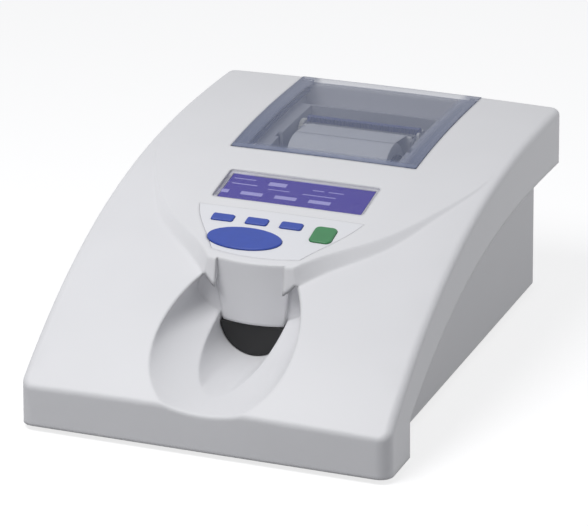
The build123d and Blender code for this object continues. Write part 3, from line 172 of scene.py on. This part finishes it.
# %% Moulded plastic
def moulded(name, colour, rough=0.45, grain=0.018, edge_mm=0.5, cloud=0.03, grain_mm=0.45):
    finish = Finish(name)
    slow = finish.noise(60.0, 1.0)
    fine = finish.noise(grain_mm, 2.0)
    darker = [c * (1 - cloud) for c in colour]
    lighter = [min(1.0, c * (1 + cloud)) for c in colour]
    shade = finish.blend(slow, darker, lighter)
    rounded = finish.soft_edges(edge_mm)
    relief = finish.bump(fine, grain, normal=rounded)
    return finish.surface(Base_Color=shade, Roughness=rough - 0.04 + 0.08 * slow, Normal=relief)


FINISHES["shell_plastic"] = moulded("housing white", (0.735, 0.735, 0.755), edge_mm=3.5)
FINISHES["base_plastic"] = moulded("base grey", (0.64, 0.64, 0.66), edge_mm=0.8)
FINISHES["panel_grey"] = moulded("key panel foil", (0.745, 0.75, 0.78), rough=0.35, grain=0.006)
FINISHES["black_plastic"] = moulded("black moulding", (0.009, 0.009, 0.010), rough=0.6, cloud=0.1)
FINISHES["dark_grey_plastic"] = moulded("dark grey moulding", (0.10, 0.105, 0.12), rough=0.5)
FINISHES["bay_grey"] = moulded("bay grey", (0.50, 0.51, 0.54), rough=0.5)
FINISHES["white_plastic"] = moulded("white moulding", (0.80, 0.80, 0.78), rough=0.4)
FINISHES["gear_white"] = moulded("gear plastic", (0.74, 0.73, 0.66), rough=0.38, edge_mm=0.15)
FINISHES["chip_black"] = moulded("chip black", (0.03, 0.03, 0.033), rough=0.55, edge_mm=0.15)
FINISHES["bar_blue"] = moulded("tear bar blue", (0.035, 0.06, 0.24), rough=0.4, edge_mm=0.15)
FINISHES["rubber"] = moulded("rubber", (0.022, 0.022, 0.023), rough=0.75, grain=0.03, cloud=0.15)
FINISHES["paper_white"] = moulded("thermal paper", (0.86, 0.865, 0.87), rough=0.6, grain=0.004, cloud=0.01)
FINISHES["card_brown"] = moulded("wound card", (0.36, 0.26, 0.16), rough=0.8, grain=0.05, cloud=0.1)
FINISHES["core_iron"] = moulded("varnished iron", (0.055, 0.05, 0.048), rough=0.4, cloud=0.2)
print("mouldings:", len(FINISHES))

# %% [markdown]
# ## Keys, display and clear pieces
# The keys are silicone caps under a gloss coat. The display is a lit module behind a clear
# window. The lid over the printer is a clear moulding with a blue-grey tint. Clear pieces are
# made with alpha instead of refraction: it lets the light through to what lies below without
# noise, and thin flat panes look the same.


# %% Glossy caps
def glossy(name, colour, rough=0.3):
    finish = Finish(name)
    slow = finish.noise(8.0, 1.0)
    shade = finish.blend(slow, [c * 0.92 for c in colour], [min(1.0, c * 1.08) for c in colour])
    rounded = finish.soft_edges(0.4)
    return finish.surface(Base_Color=shade, Roughness=rough + 0.06 * slow, Normal=rounded)


FINISHES["key_blue"] = glossy("blue key", (0.02, 0.06, 0.37))
FINISHES["key_green"] = glossy("green key", (0.035, 0.21, 0.075))


# %% Clear mouldings
def clear(name, colour, alpha, rough=0.08, edge_alpha=0.25, border_shade=None, mirror=0.5):
    finish = Finish(name)
    finish.shader.inputs["Specular IOR Level"].default_value = mirror
    facing = finish.node("ShaderNodeLayerWeight", {}, Blend=0.25, output="Facing")
    slow = finish.noise(30.0, 1.0)
    shade = finish.blend(slow, [c * 0.95 for c in colour], colour)
    cover = alpha + edge_alpha * facing
    # Extra cover along the lid's border, partly painted shade.
    if border_shade is not None:
        cover = cover + border_shade(finish)
    finish.material.blend_method = "BLEND"
    return finish.surface(Base_Color=shade, Roughness=rough + 0.04 * slow, Alpha=cover.clamped())


# Widths of the lid's darker border, which is partly painted shade over the ledge below.
LID_SIDE, LID_FRONT, LID_FADE = 15.0, 9.0, 5.0


def lid_border_painted_shade(finish):
    """The lid is darker along three sides: partly its thicker border, partly painted shade for the shaded
    ledge and well wall beneath.
    """
    low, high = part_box("printer_lid")
    half, front = high[0] - LID_SIDE * MM, low[1] + LID_FRONT * MM
    fade = 1 / (LID_FADE * MM)
    across = finish.axis("X").math("ABSOLUTE", finish.axis("X"))
    sides = ((across - half) * fade).clamped()
    near = ((front - finish.axis("Y")) * fade).clamped()
    return 0.36 * sides.math("MAXIMUM", sides, 1.4 * near)


FINISHES["lid_clear"] = clear("lid clear", (0.16, 0.195, 0.32), 0.21, border_shade=lid_border_painted_shade)
FINISHES["window_clear"] = clear("display window", (0.20, 0.19, 0.36), 0.08, rough=0.05, mirror=0.15)
FINISHES["lens_glass"] = clear("lens glass", (0.5, 0.6, 0.62), 0.25, rough=0.02)


# %% The lit display
def lit(name, colour, glow):
    finish = Finish(name)
    slow = finish.noise(45.0, 1.0)
    shade = finish.blend(slow, [c * 0.9 for c in colour], colour)
    finish.shader.inputs["Emission Strength"].default_value = glow
    finish.shader.inputs["Specular IOR Level"].default_value = 0.15
    return finish.surface(Base_Color=shade, Emission_Color=shade, Roughness=0.25 + 0.05 * slow)


FINISHES["lcd_blue"] = lit("display field", (0.055, 0.042, 0.30), 0.33)
FINISHES["lcd_light"] = lit("light guide", (0.60, 0.65, 0.90), 0.2)
print("finishes:", len(FINISHES))

# %% [markdown]
# ## Metals and boards
# Plated plates have a faint rolled streak along one direction. Turned shafts have none. The
# circuit boards show copper tracks as a slightly lighter pattern under the lacquer.


# %% Metals
def metal(name, colour, rough=0.3, streak=0.05):
    finish = Finish(name)
    stretched = finish.node("ShaderNodeMapping", {}, Vector=finish.place(), Scale=(40.0, 2500.0, 900.0))
    lines = finish.node("ShaderNodeTexNoise", {}, Vector=stretched, Scale=1.0, Detail=2.0)
    shade = finish.blend(lines, [c * (1 - streak) for c in colour], colour)
    rounded = finish.soft_edges(0.2)
    polish = rough - 0.05 + 0.1 * lines
    return finish.surface(Base_Color=shade, Metallic=1.0, Roughness=polish, Normal=rounded)


FINISHES["steel_plate"] = metal("plated steel", (0.62, 0.63, 0.65))
FINISHES["steel_shaft"] = metal("ground steel", (0.66, 0.66, 0.68), 0.2, 0.02)
FINISHES["contact_brass"] = metal("plated contacts", (0.62, 0.52, 0.30), 0.25)


# %% Boards and coil tape
def lacquered_board():
    finish = Finish("board green")
    along = finish.axis("Y").math("PINGPONG", finish.axis("Y"), 1.6 * MM) * (1 / (1.6 * MM))
    patches = finish.noise(14.0, 0.0) > 0.52
    tracks = (along > 0.6) * patches
    shade = finish.blend(tracks, (0.012, 0.10, 0.04), (0.03, 0.20, 0.09))
    relief = finish.bump(tracks, 0.02)
    return finish.surface(Base_Color=shade, Roughness=0.32 + 0.1 * patches, Normal=relief)


def wound_tape():
    finish = Finish("coil tape")
    ridges = finish.axis("Z").math("PINGPONG", finish.axis("Z"), 4.0 * MM) * (1 / (4.0 * MM))
    shade = finish.blend(ridges, (0.36, 0.24, 0.05), (0.48, 0.33, 0.08))
    return finish.surface(Base_Color=shade, Roughness=0.35 + 0.1 * ridges, Normal=finish.bump(ridges, 0.15))


FINISHES["board_green"] = lacquered_board()
FINISHES["coil_tape"] = wound_tape()

# %% Give every node its finish
for node, slot in SLOT_OF.items():
    piece = bpy.data.objects[node]
    piece.data.materials.clear()
    piece.data.materials.append(FINISHES[slot])
print("finished nodes:", len(SLOT_OF))

# %% [markdown]
# ## A deeper recess
# The recess in front of the tray's mouth is a deep bowl with steep sides. The solid has a
# shallower one, so the cover is shown by a copy of its mesh that is filled from below and then
# cut out deeper. Every tool is convex, so each is the hull of a few rings of points. Points are
# in millimetres from the front bottom edge of the housing.
#
# A bowl is an ellipsoid, given by its half axes, the depth and height of its centre, and the
# degrees that it leans back. The top is a curve of four pulling heights, with a slight crown.

# %% Sizes of the recess and of what is around it
FRONT_Y, FOOT_HEIGHT = -202.0, 4.0
MOUTH_Y, SKIN = 104.0, 2.8
OLD_BOWL = ((65.0, 110.0, 32.8), (23.2, 74.9), 28.9)
NEW_BOWL = ((55.0, 209.4, 27.4), (-20.0, 50.7), 14.7)
BOWL_START, PLUG_START = -12.0, 4.0
TOP_CURVE = (29.3, 143.0, 146.2, 145.1)
DEPTH, CROWN, CROWN_REACH = 404.0, 2.0, 150.0
CHANNEL_R, CHANNEL_Z = 26.5, 60.0
CLEAR_TOP, CLEAR_ENDS = 160.0, (-20.0, 120.0)
NOSE_FOOT, NOSE_HEAD, NOSE_BACK = (23.3, 98.0, 59.3), (33.0, 94.0, 118.0), 125.0
NOSE_BOW, NOSE_STEPS = 4.0, 12
SEAM_ANGLE, CREASE_ANGLE = 4.0, 24.0


def top_height(x, y):
    t = y / DEPTH
    shares = ((1 - t) ** 3, 3 * t * (1 - t) ** 2, 3 * t * t * (1 - t), t ** 3)
    return sum(w * h for w, h in zip(shares, TOP_CURVE)) + CROWN * (1 - (x / CROWN_REACH) ** 2)


def bowl_slice(bowl, grow, y):
    """Middle height, half width and half height of the leaning ellipsoid, cut across at y."""
    (a, b, c), (centre_y, centre_z), lean = bowl
    a, b, c = a + grow, b + grow, c + grow
    s, k, v = math.sin(math.radians(lean)), math.cos(math.radians(lean)), y - centre_y
    p = (s / b) ** 2 + (k / c) ** 2
    q = v * s * k * (1 / b ** 2 - 1 / c ** 2)
    root = math.sqrt(max(0.0, 1 - v * v * ((k / b) ** 2 + (s / c) ** 2) + q * q / p))
    return centre_z - q / p, a * root, root / math.sqrt(p)


def steps(low, high, count):
    return [low + (high - low) * i / count for i in range(count + 1)]


def bowl_points(bowl, grow, rear):
    """The bowl, up to a plane at its rear."""
    points = []
    for y in steps(BOWL_START, rear, 58):
        z, wide, tall = bowl_slice(bowl, grow, y)
        points += [(wide * math.cos(t), y, z + tall * math.sin(t)) for t in steps(0.0, math.tau, 120)]
    return points


def plug_points(bowl, grow, rear, cover):
    """The part of the bowl's outside that lies under the top's surface."""
    points = []
    for y in steps(PLUG_START, rear, 50):
        z, wide, tall = bowl_slice(bowl, grow, y)
        for t in steps(-math.pi, 0.0, 90):
            x = wide * math.cos(t)
            low, high = z + tall * math.sin(t), min(z - tall * math.sin(t), top_height(x, y) - cover)
            if low < high:
                points += [(x, y, low), (x, y, high)]
    return points


def channel_points():
    """The half-round channel and the air above it."""
    turns = steps(-math.pi, 0.0, 60)
    ring = [(CHANNEL_R * math.cos(t), CHANNEL_Z + CHANNEL_R * math.sin(t)) for t in turns]
    ring += [(-CHANNEL_R, CLEAR_TOP), (CHANNEL_R, CLEAR_TOP)]
    return [(x, y, z) for x, z in ring for y in CLEAR_ENDS]


def nose_points():
    """The bowed lip over the mouth, between two sections of a half width, a front and a height."""
    points = []
    for half, front, z in (NOSE_FOOT, NOSE_HEAD):
        shares = [i / NOSE_STEPS for i in range(-NOSE_STEPS, NOSE_STEPS + 1)]
        points += [(half * share, front + NOSE_BOW * share ** 2, z) for share in shares]
        points += [(-half, NOSE_BACK, z), (half, NOSE_BACK, z)]
    return points


print("top at the mouth:", round(top_height(0, MOUTH_Y), 1))


# %% Hulls and cuts
def hull(name, points):
    """The convex solid around the points."""
    mesh = bmesh.new()
    for x, y, z in points:
        mesh.verts.new((x * MM, (y + FRONT_Y) * MM, (z + FOOT_HEIGHT) * MM))
    bmesh.ops.remove_doubles(mesh, verts=mesh.verts, dist=0.001 * MM)
    made = bmesh.ops.convex_hull(mesh, input=mesh.verts)
    inner = [item for item in made["geom_interior"] if isinstance(item, bmesh.types.BMVert)]
    bmesh.ops.delete(mesh, geom=inner, context="VERTS")
    return as_piece(name, mesh)


def as_piece(name, mesh):
    data = bpy.data.meshes.new(name)
    mesh.to_mesh(data)
    mesh.free()
    piece = bpy.data.objects.new(name, data)
    bpy.context.collection.objects.link(piece)
    return piece


def combine(piece, operation, tool):
    """Joins or cuts with the tool, which is used up."""
    step = piece.modifiers.new(operation, "BOOLEAN")
    step.operation, step.solver, step.object = operation, "EXACT", tool
    graph = bpy.context.evaluated_depsgraph_get()
    done = bpy.data.meshes.new_from_object(piece.evaluated_get(graph))
    piece.modifiers.clear()
    piece.data = done
    bpy.data.objects.remove(tool)


def welded_copy(name, node, seam_angle):
    """A closed copy, with a crease wherever two of the solid's faces meet at more than this angle."""
    mesh = bmesh.new()
    mesh.from_mesh(bpy.data.objects[node].data)
    for edge in mesh.edges:
        edge.smooth = not edge.is_boundary
    bmesh.ops.remove_doubles(mesh, verts=mesh.verts, dist=0.0005 * MM)
    for edge in mesh.edges:
        if len(edge.link_faces) == 2 and edge.calc_face_angle() < math.radians(seam_angle):
            edge.smooth = True
    return as_piece(name, mesh)


def mark_creases(piece, angle):
    """Adds the edges that the cuts made to the creases that the cover has already."""
    mesh = bmesh.new()
    mesh.from_mesh(piece.data)
    for edge in mesh.edges:
        if len(edge.link_faces) == 2 and edge.calc_face_angle() > math.radians(angle):
            edge.smooth = False
    for face in mesh.faces:
        face.smooth = True
    mesh.to_mesh(piece.data)
    mesh.free()


def recess_cutter():
    """What lies between the shallow bowl and the deep one, apart from the lip over the mouth."""
    cutter = hull("cutter", bowl_points(NEW_BOWL, 0.0, MOUTH_Y - 0.01))
    combine(cutter, "DIFFERENCE", hull("old bowl", bowl_points(OLD_BOWL, -0.25, MOUTH_Y + 2 * SKIN)))
    combine(cutter, "DIFFERENCE", hull("nose", nose_points()))
    return cutter


def recess_skin():
    """The wall under the deep bowl. It starts a little inside the bowl, and the cutter trims it."""
    skin = hull("skin", plug_points(NEW_BOWL, SKIN, MOUTH_Y + SKIN, SKIN / 2))
    combine(skin, "DIFFERENCE", hull("new bowl", bowl_points(NEW_BOWL, -0.3, MOUTH_Y - 0.3)))
    combine(skin, "DIFFERENCE", hull("old bowl", bowl_points(OLD_BOWL, 0.4, MOUTH_Y - 0.3)))
    combine(skin, "DIFFERENCE", hull("channel", channel_points()))
    return skin


def deep_cover():
    cover = welded_copy("deep_cover", "top_cover", SEAM_ANGLE)
    combine(cover, "UNION", recess_skin())
    combine(cover, "DIFFERENCE", recess_cutter())
    mark_creases(cover, CREASE_ANGLE)
    cover.data.materials.clear()
    cover.data.materials.append(FINISHES[SLOT_OF["top_cover"]])
    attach(cover, "housing")
    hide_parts("top_cover")
    return cover


deep = deep_cover()
print("cover's faces:", len(deep.data.polygons))

# %% [markdown]
# ## What the display shows
# The module shows light marks on a violet field: a bar along the top, a few short lines, a
# small box in the middle and one box over each key. They carry no words. Each is a thin plate
# that lies on the glass, so it is built in the glass's own tilted plane.


# %% The glass's plane
def glass_plane():
    """Middle, up-slope direction and normal of the display's face."""
    mesh = bpy.data.objects["lcd_glass"].data
    face = max(mesh.polygons, key=lambda p: p.area * (p.normal.z > 0.5))
    normal = face.normal.copy()
    across = Vector((1, 0, 0))
    return Vector(face.center), normal.cross(across).normalized(), normal


middle, up_slope, glass_normal = glass_plane()
print("glass normal:", [round(c, 3) for c in glass_normal])


# %% Thin marks on the glass
def thin_boxes(name, spots, lift, thick):
    """Boxes given as (across, up, width, height) in millimetres on the glass."""
    mesh = bmesh.new()
    turn = Matrix((Vector((1, 0, 0)), up_slope, glass_normal)).transposed().to_4x4()
    for x, y, w, h in spots:
        height = lift + thick / 2
        at = middle + (Vector((1, 0, 0)) * x + up_slope * y + glass_normal * height) * MM
        size = Matrix.Diagonal((w * MM, h * MM, thick * MM, 1.0))
        bmesh.ops.create_cube(mesh, size=1.0, matrix=Matrix.Translation(at) @ turn @ size)
    return as_piece(name, mesh)


HEAD_BAR = [(-38.0, 13.6, 34.0, 4.6)]
KEY_BOXES = [(-40.5 + 26.6 * i, -13.4, 17.0, 4.4) for i in range(4)]
CENTRE_BOX = [(0.5, 3.4, 14.0, 5.0)]
LINES = [(-26.0, 5.6, 17.0, 1.0), (-41.0, -0.6, 9.0, 1.0), (-24.0, -1.6, 20.0, 1.2), (4.0, -4.2, 17.0, 0.9),
         (33.0, 11.6, 34.0, 0.9), (33.0, 2.0, 9.0, 1.0), (47.0, 2.0, 12.0, 1.0), (36.0, -5.0, 26.0, 1.0)]
marks = thin_boxes("display_marks", HEAD_BAR + KEY_BOXES + CENTRE_BOX + LINES, 0.02, 0.05)
marks.data.materials.append(lit("display marks", (0.34, 0.33, 0.62), 0.35))
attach(marks, "housing")
print("marks:", len(marks.data.polygons) // 6)

# %% [markdown]
# ## Details of the serial socket
# The solid is the socket's flange and its D-shaped front. Nine contacts and the two hexagonal
# screws that hold the plug are added on it. Each is turned or pressed along the machine's depth.


# %% Stepped rounds that face the rear
def stepped(name, spots, sides, profile, node):
    """At each (across, up) spot a round or hexagon, from (radius, height) steps in millimetres."""
    low, high = (Vector(corner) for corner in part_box(node))
    centre = Vector(((low.x + high.x) / 2, high.y, (low.z + high.z) / 2))
    mesh = bmesh.new()
    for across, up in spots:
        rings = []
        for radius, height in profile:
            turns = [math.tau * (i + 0.5) / sides for i in range(sides)]
            offsets = [(across + radius * math.cos(t), height, up + radius * math.sin(t)) for t in turns]
            rings.append([mesh.verts.new(centre + Vector(spot) * MM) for spot in offsets])
        for inner, outer in zip(rings, rings[1:]):
            for i in range(sides):
                j = (i + 1) % sides
                mesh.faces.new((inner[i], inner[j], outer[j], outer[i]))
        mesh.faces.new(rings[0])
        mesh.faces.new(rings[-1])
    bmesh.ops.recalc_face_normals(mesh, faces=mesh.faces)
    return as_piece(name, mesh)


PITCH, ROW_GAP, SCREW_X = 2.76, 2.84, 12.5
UPPER_ROW = [(PITCH * (i - 2.0), ROW_GAP / 2) for i in range(5)]
LOWER_ROW = [(PITCH * (i - 1.5), -ROW_GAP / 2) for i in range(4)]
SOCKET = ((0.3, -0.02), (0.3, 0.01), (0.42, 0.06), (0.62, 0.06), (0.66, -0.02))
HEXAGON = ((1.1, -0.88), (1.1, -0.35), (1.4, -0.1), (2.2, -0.1), (2.45, -0.3), (2.45, -0.88))
contacts = stepped("serial_contacts", UPPER_ROW + LOWER_ROW, 20, SOCKET, "serial_port")
jack_screws = stepped("serial_screws", [(-SCREW_X, 0.0), (SCREW_X, 0.0)], 6, HEXAGON, "serial_port")
for piece, slot in ((contacts, "chip_black"), (jack_screws, "steel_shaft")):
    piece.data.materials.append(FINISHES[slot])
    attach(piece, "housing")
print("contacts:", len(UPPER_ROW + LOWER_ROW))

# %% [markdown]
# ## Floor, light and camera
# The machine stands on a seamless white sheet. One large soft lamp hangs above it, a weaker
# one stands in front on the left, and the sky is a dim grey, so the right side falls into a
# soft shade. What the camera sees of the sheet is lifted to white, while the shadow stays.


# %% Floor and sky
SEEN_BY = ("Is Camera Ray", "Is Glossy Ray", "Is Transmission Ray")
FLOOR_LIFT, SKY_STRENGTH, FLOOR_HALF = 0.76, 0.30, 12.0


def white_floor():
    mesh = bpy.data.meshes.new("floor")
    corners = [(-FLOOR_HALF, -FLOOR_HALF, 0), (FLOOR_HALF, -FLOOR_HALF, 0)]
    corners += [(FLOOR_HALF, FLOOR_HALF, 0), (-FLOOR_HALF, FLOOR_HALF, 0)]
    mesh.from_pydata(corners, [], [(0, 1, 2, 3)])
    floor = bpy.data.objects.new("floor", mesh)
    bpy.context.collection.objects.link(floor)
    finish = Finish("white sheet")
    rays = [finish.node("ShaderNodeLightPath", {}, output=kind) for kind in SEEN_BY]
    finish.surface(Base_Color=(0.35, 0.35, 0.355), Roughness=0.9, Emission_Color=(1.0, 1.0, 1.0))
    finish.fill(finish.shader.inputs["Emission Strength"], FLOOR_LIFT * (rays[0] + rays[1] + rays[2]))
    finish.shader.inputs["Specular IOR Level"].default_value = 0.0
    mesh.materials.append(finish.material)


def grey_sky(strength):
    world = bpy.data.worlds.new("studio")
    world.use_nodes = True
    bpy.context.scene.world = world
    tree = world.node_tree
    ground = tree.nodes["Background"]
    ground.inputs["Color"].default_value = (0.93, 0.95, 1.0, 1.0)
    ground.inputs["Strength"].default_value = strength
    white = tree.nodes.new("ShaderNodeBackground")
    white.inputs["Color"].default_value = (1.0, 1.0, 1.0, 1.0)
    path = tree.nodes.new("ShaderNodeLightPath")
    seen = path.outputs[SEEN_BY[0]]
    for kind in SEEN_BY[1:]:
        either = tree.nodes.new("ShaderNodeMath")
        either.operation = "MAXIMUM"
        tree.links.new(seen, either.inputs[0])
        tree.links.new(path.outputs[kind], either.inputs[1])
        seen = either.outputs[0]
    mix = tree.nodes.new("ShaderNodeMixShader")
    tree.links.new(seen, mix.inputs["Fac"])
    tree.links.new(ground.outputs["Background"], mix.inputs[1])
    tree.links.new(white.outputs["Background"], mix.inputs[2])
    tree.links.new(mix.outputs["Shader"], tree.nodes["World Output"].inputs["Surface"])


white_floor()
grey_sky(SKY_STRENGTH)


# %% Lamps
def soft_lamp(name, place, target, size, watts):
    light = bpy.data.lights.new(name, "AREA")
    light.shape, light.size, light.energy = "DISK", size, watts
    lamp = bpy.data.objects.new(name, light)
    bpy.context.collection.objects.link(lamp)
    lamp.location = place
    lamp.rotation_euler = (Vector(target) - Vector(place)).to_track_quat("-Z", "Y").to_euler()


soft_lamp("key lamp", (-0.3, -0.6, 1.15), (0.0, -0.1, 0.1), 0.7, 10.5)
soft_lamp("side lamp", (1.7, 0.9, 0.6), (0.0, 0.0, 0.1), 1.2, 6.5)


# %% Camera
VIEW_TURN, VIEW_TILT, VIEW_DISTANCE = 20.877, 21.034, 2.648156
LOOK_AT = Vector((-0.00245, -0.012, 0.07755))


def photo_camera():
    data = bpy.data.cameras.new("camera")
    data.sensor_width, data.lens = 36.0, 219.2
    data.clip_start, data.clip_end = 0.1, 60.0
    camera = bpy.data.objects.new("camera", data)
    bpy.context.collection.objects.link(camera)
    turn, tilt = math.radians(VIEW_TURN), math.radians(VIEW_TILT)
    back = Vector((math.sin(turn) * math.cos(tilt), -math.cos(turn) * math.cos(tilt), math.sin(tilt)))
    camera.location = LOOK_AT + back * VIEW_DISTANCE
    camera.rotation_mode = "QUATERNION"
    camera.rotation_quaternion = (-back).to_track_quat("-Z", "Y")
    bpy.context.scene.camera = camera


photo_camera()
bpy.context.scene.view_settings.view_transform = "Standard"
print("camera at", [round(c, 3) for c in bpy.context.scene.camera.location])
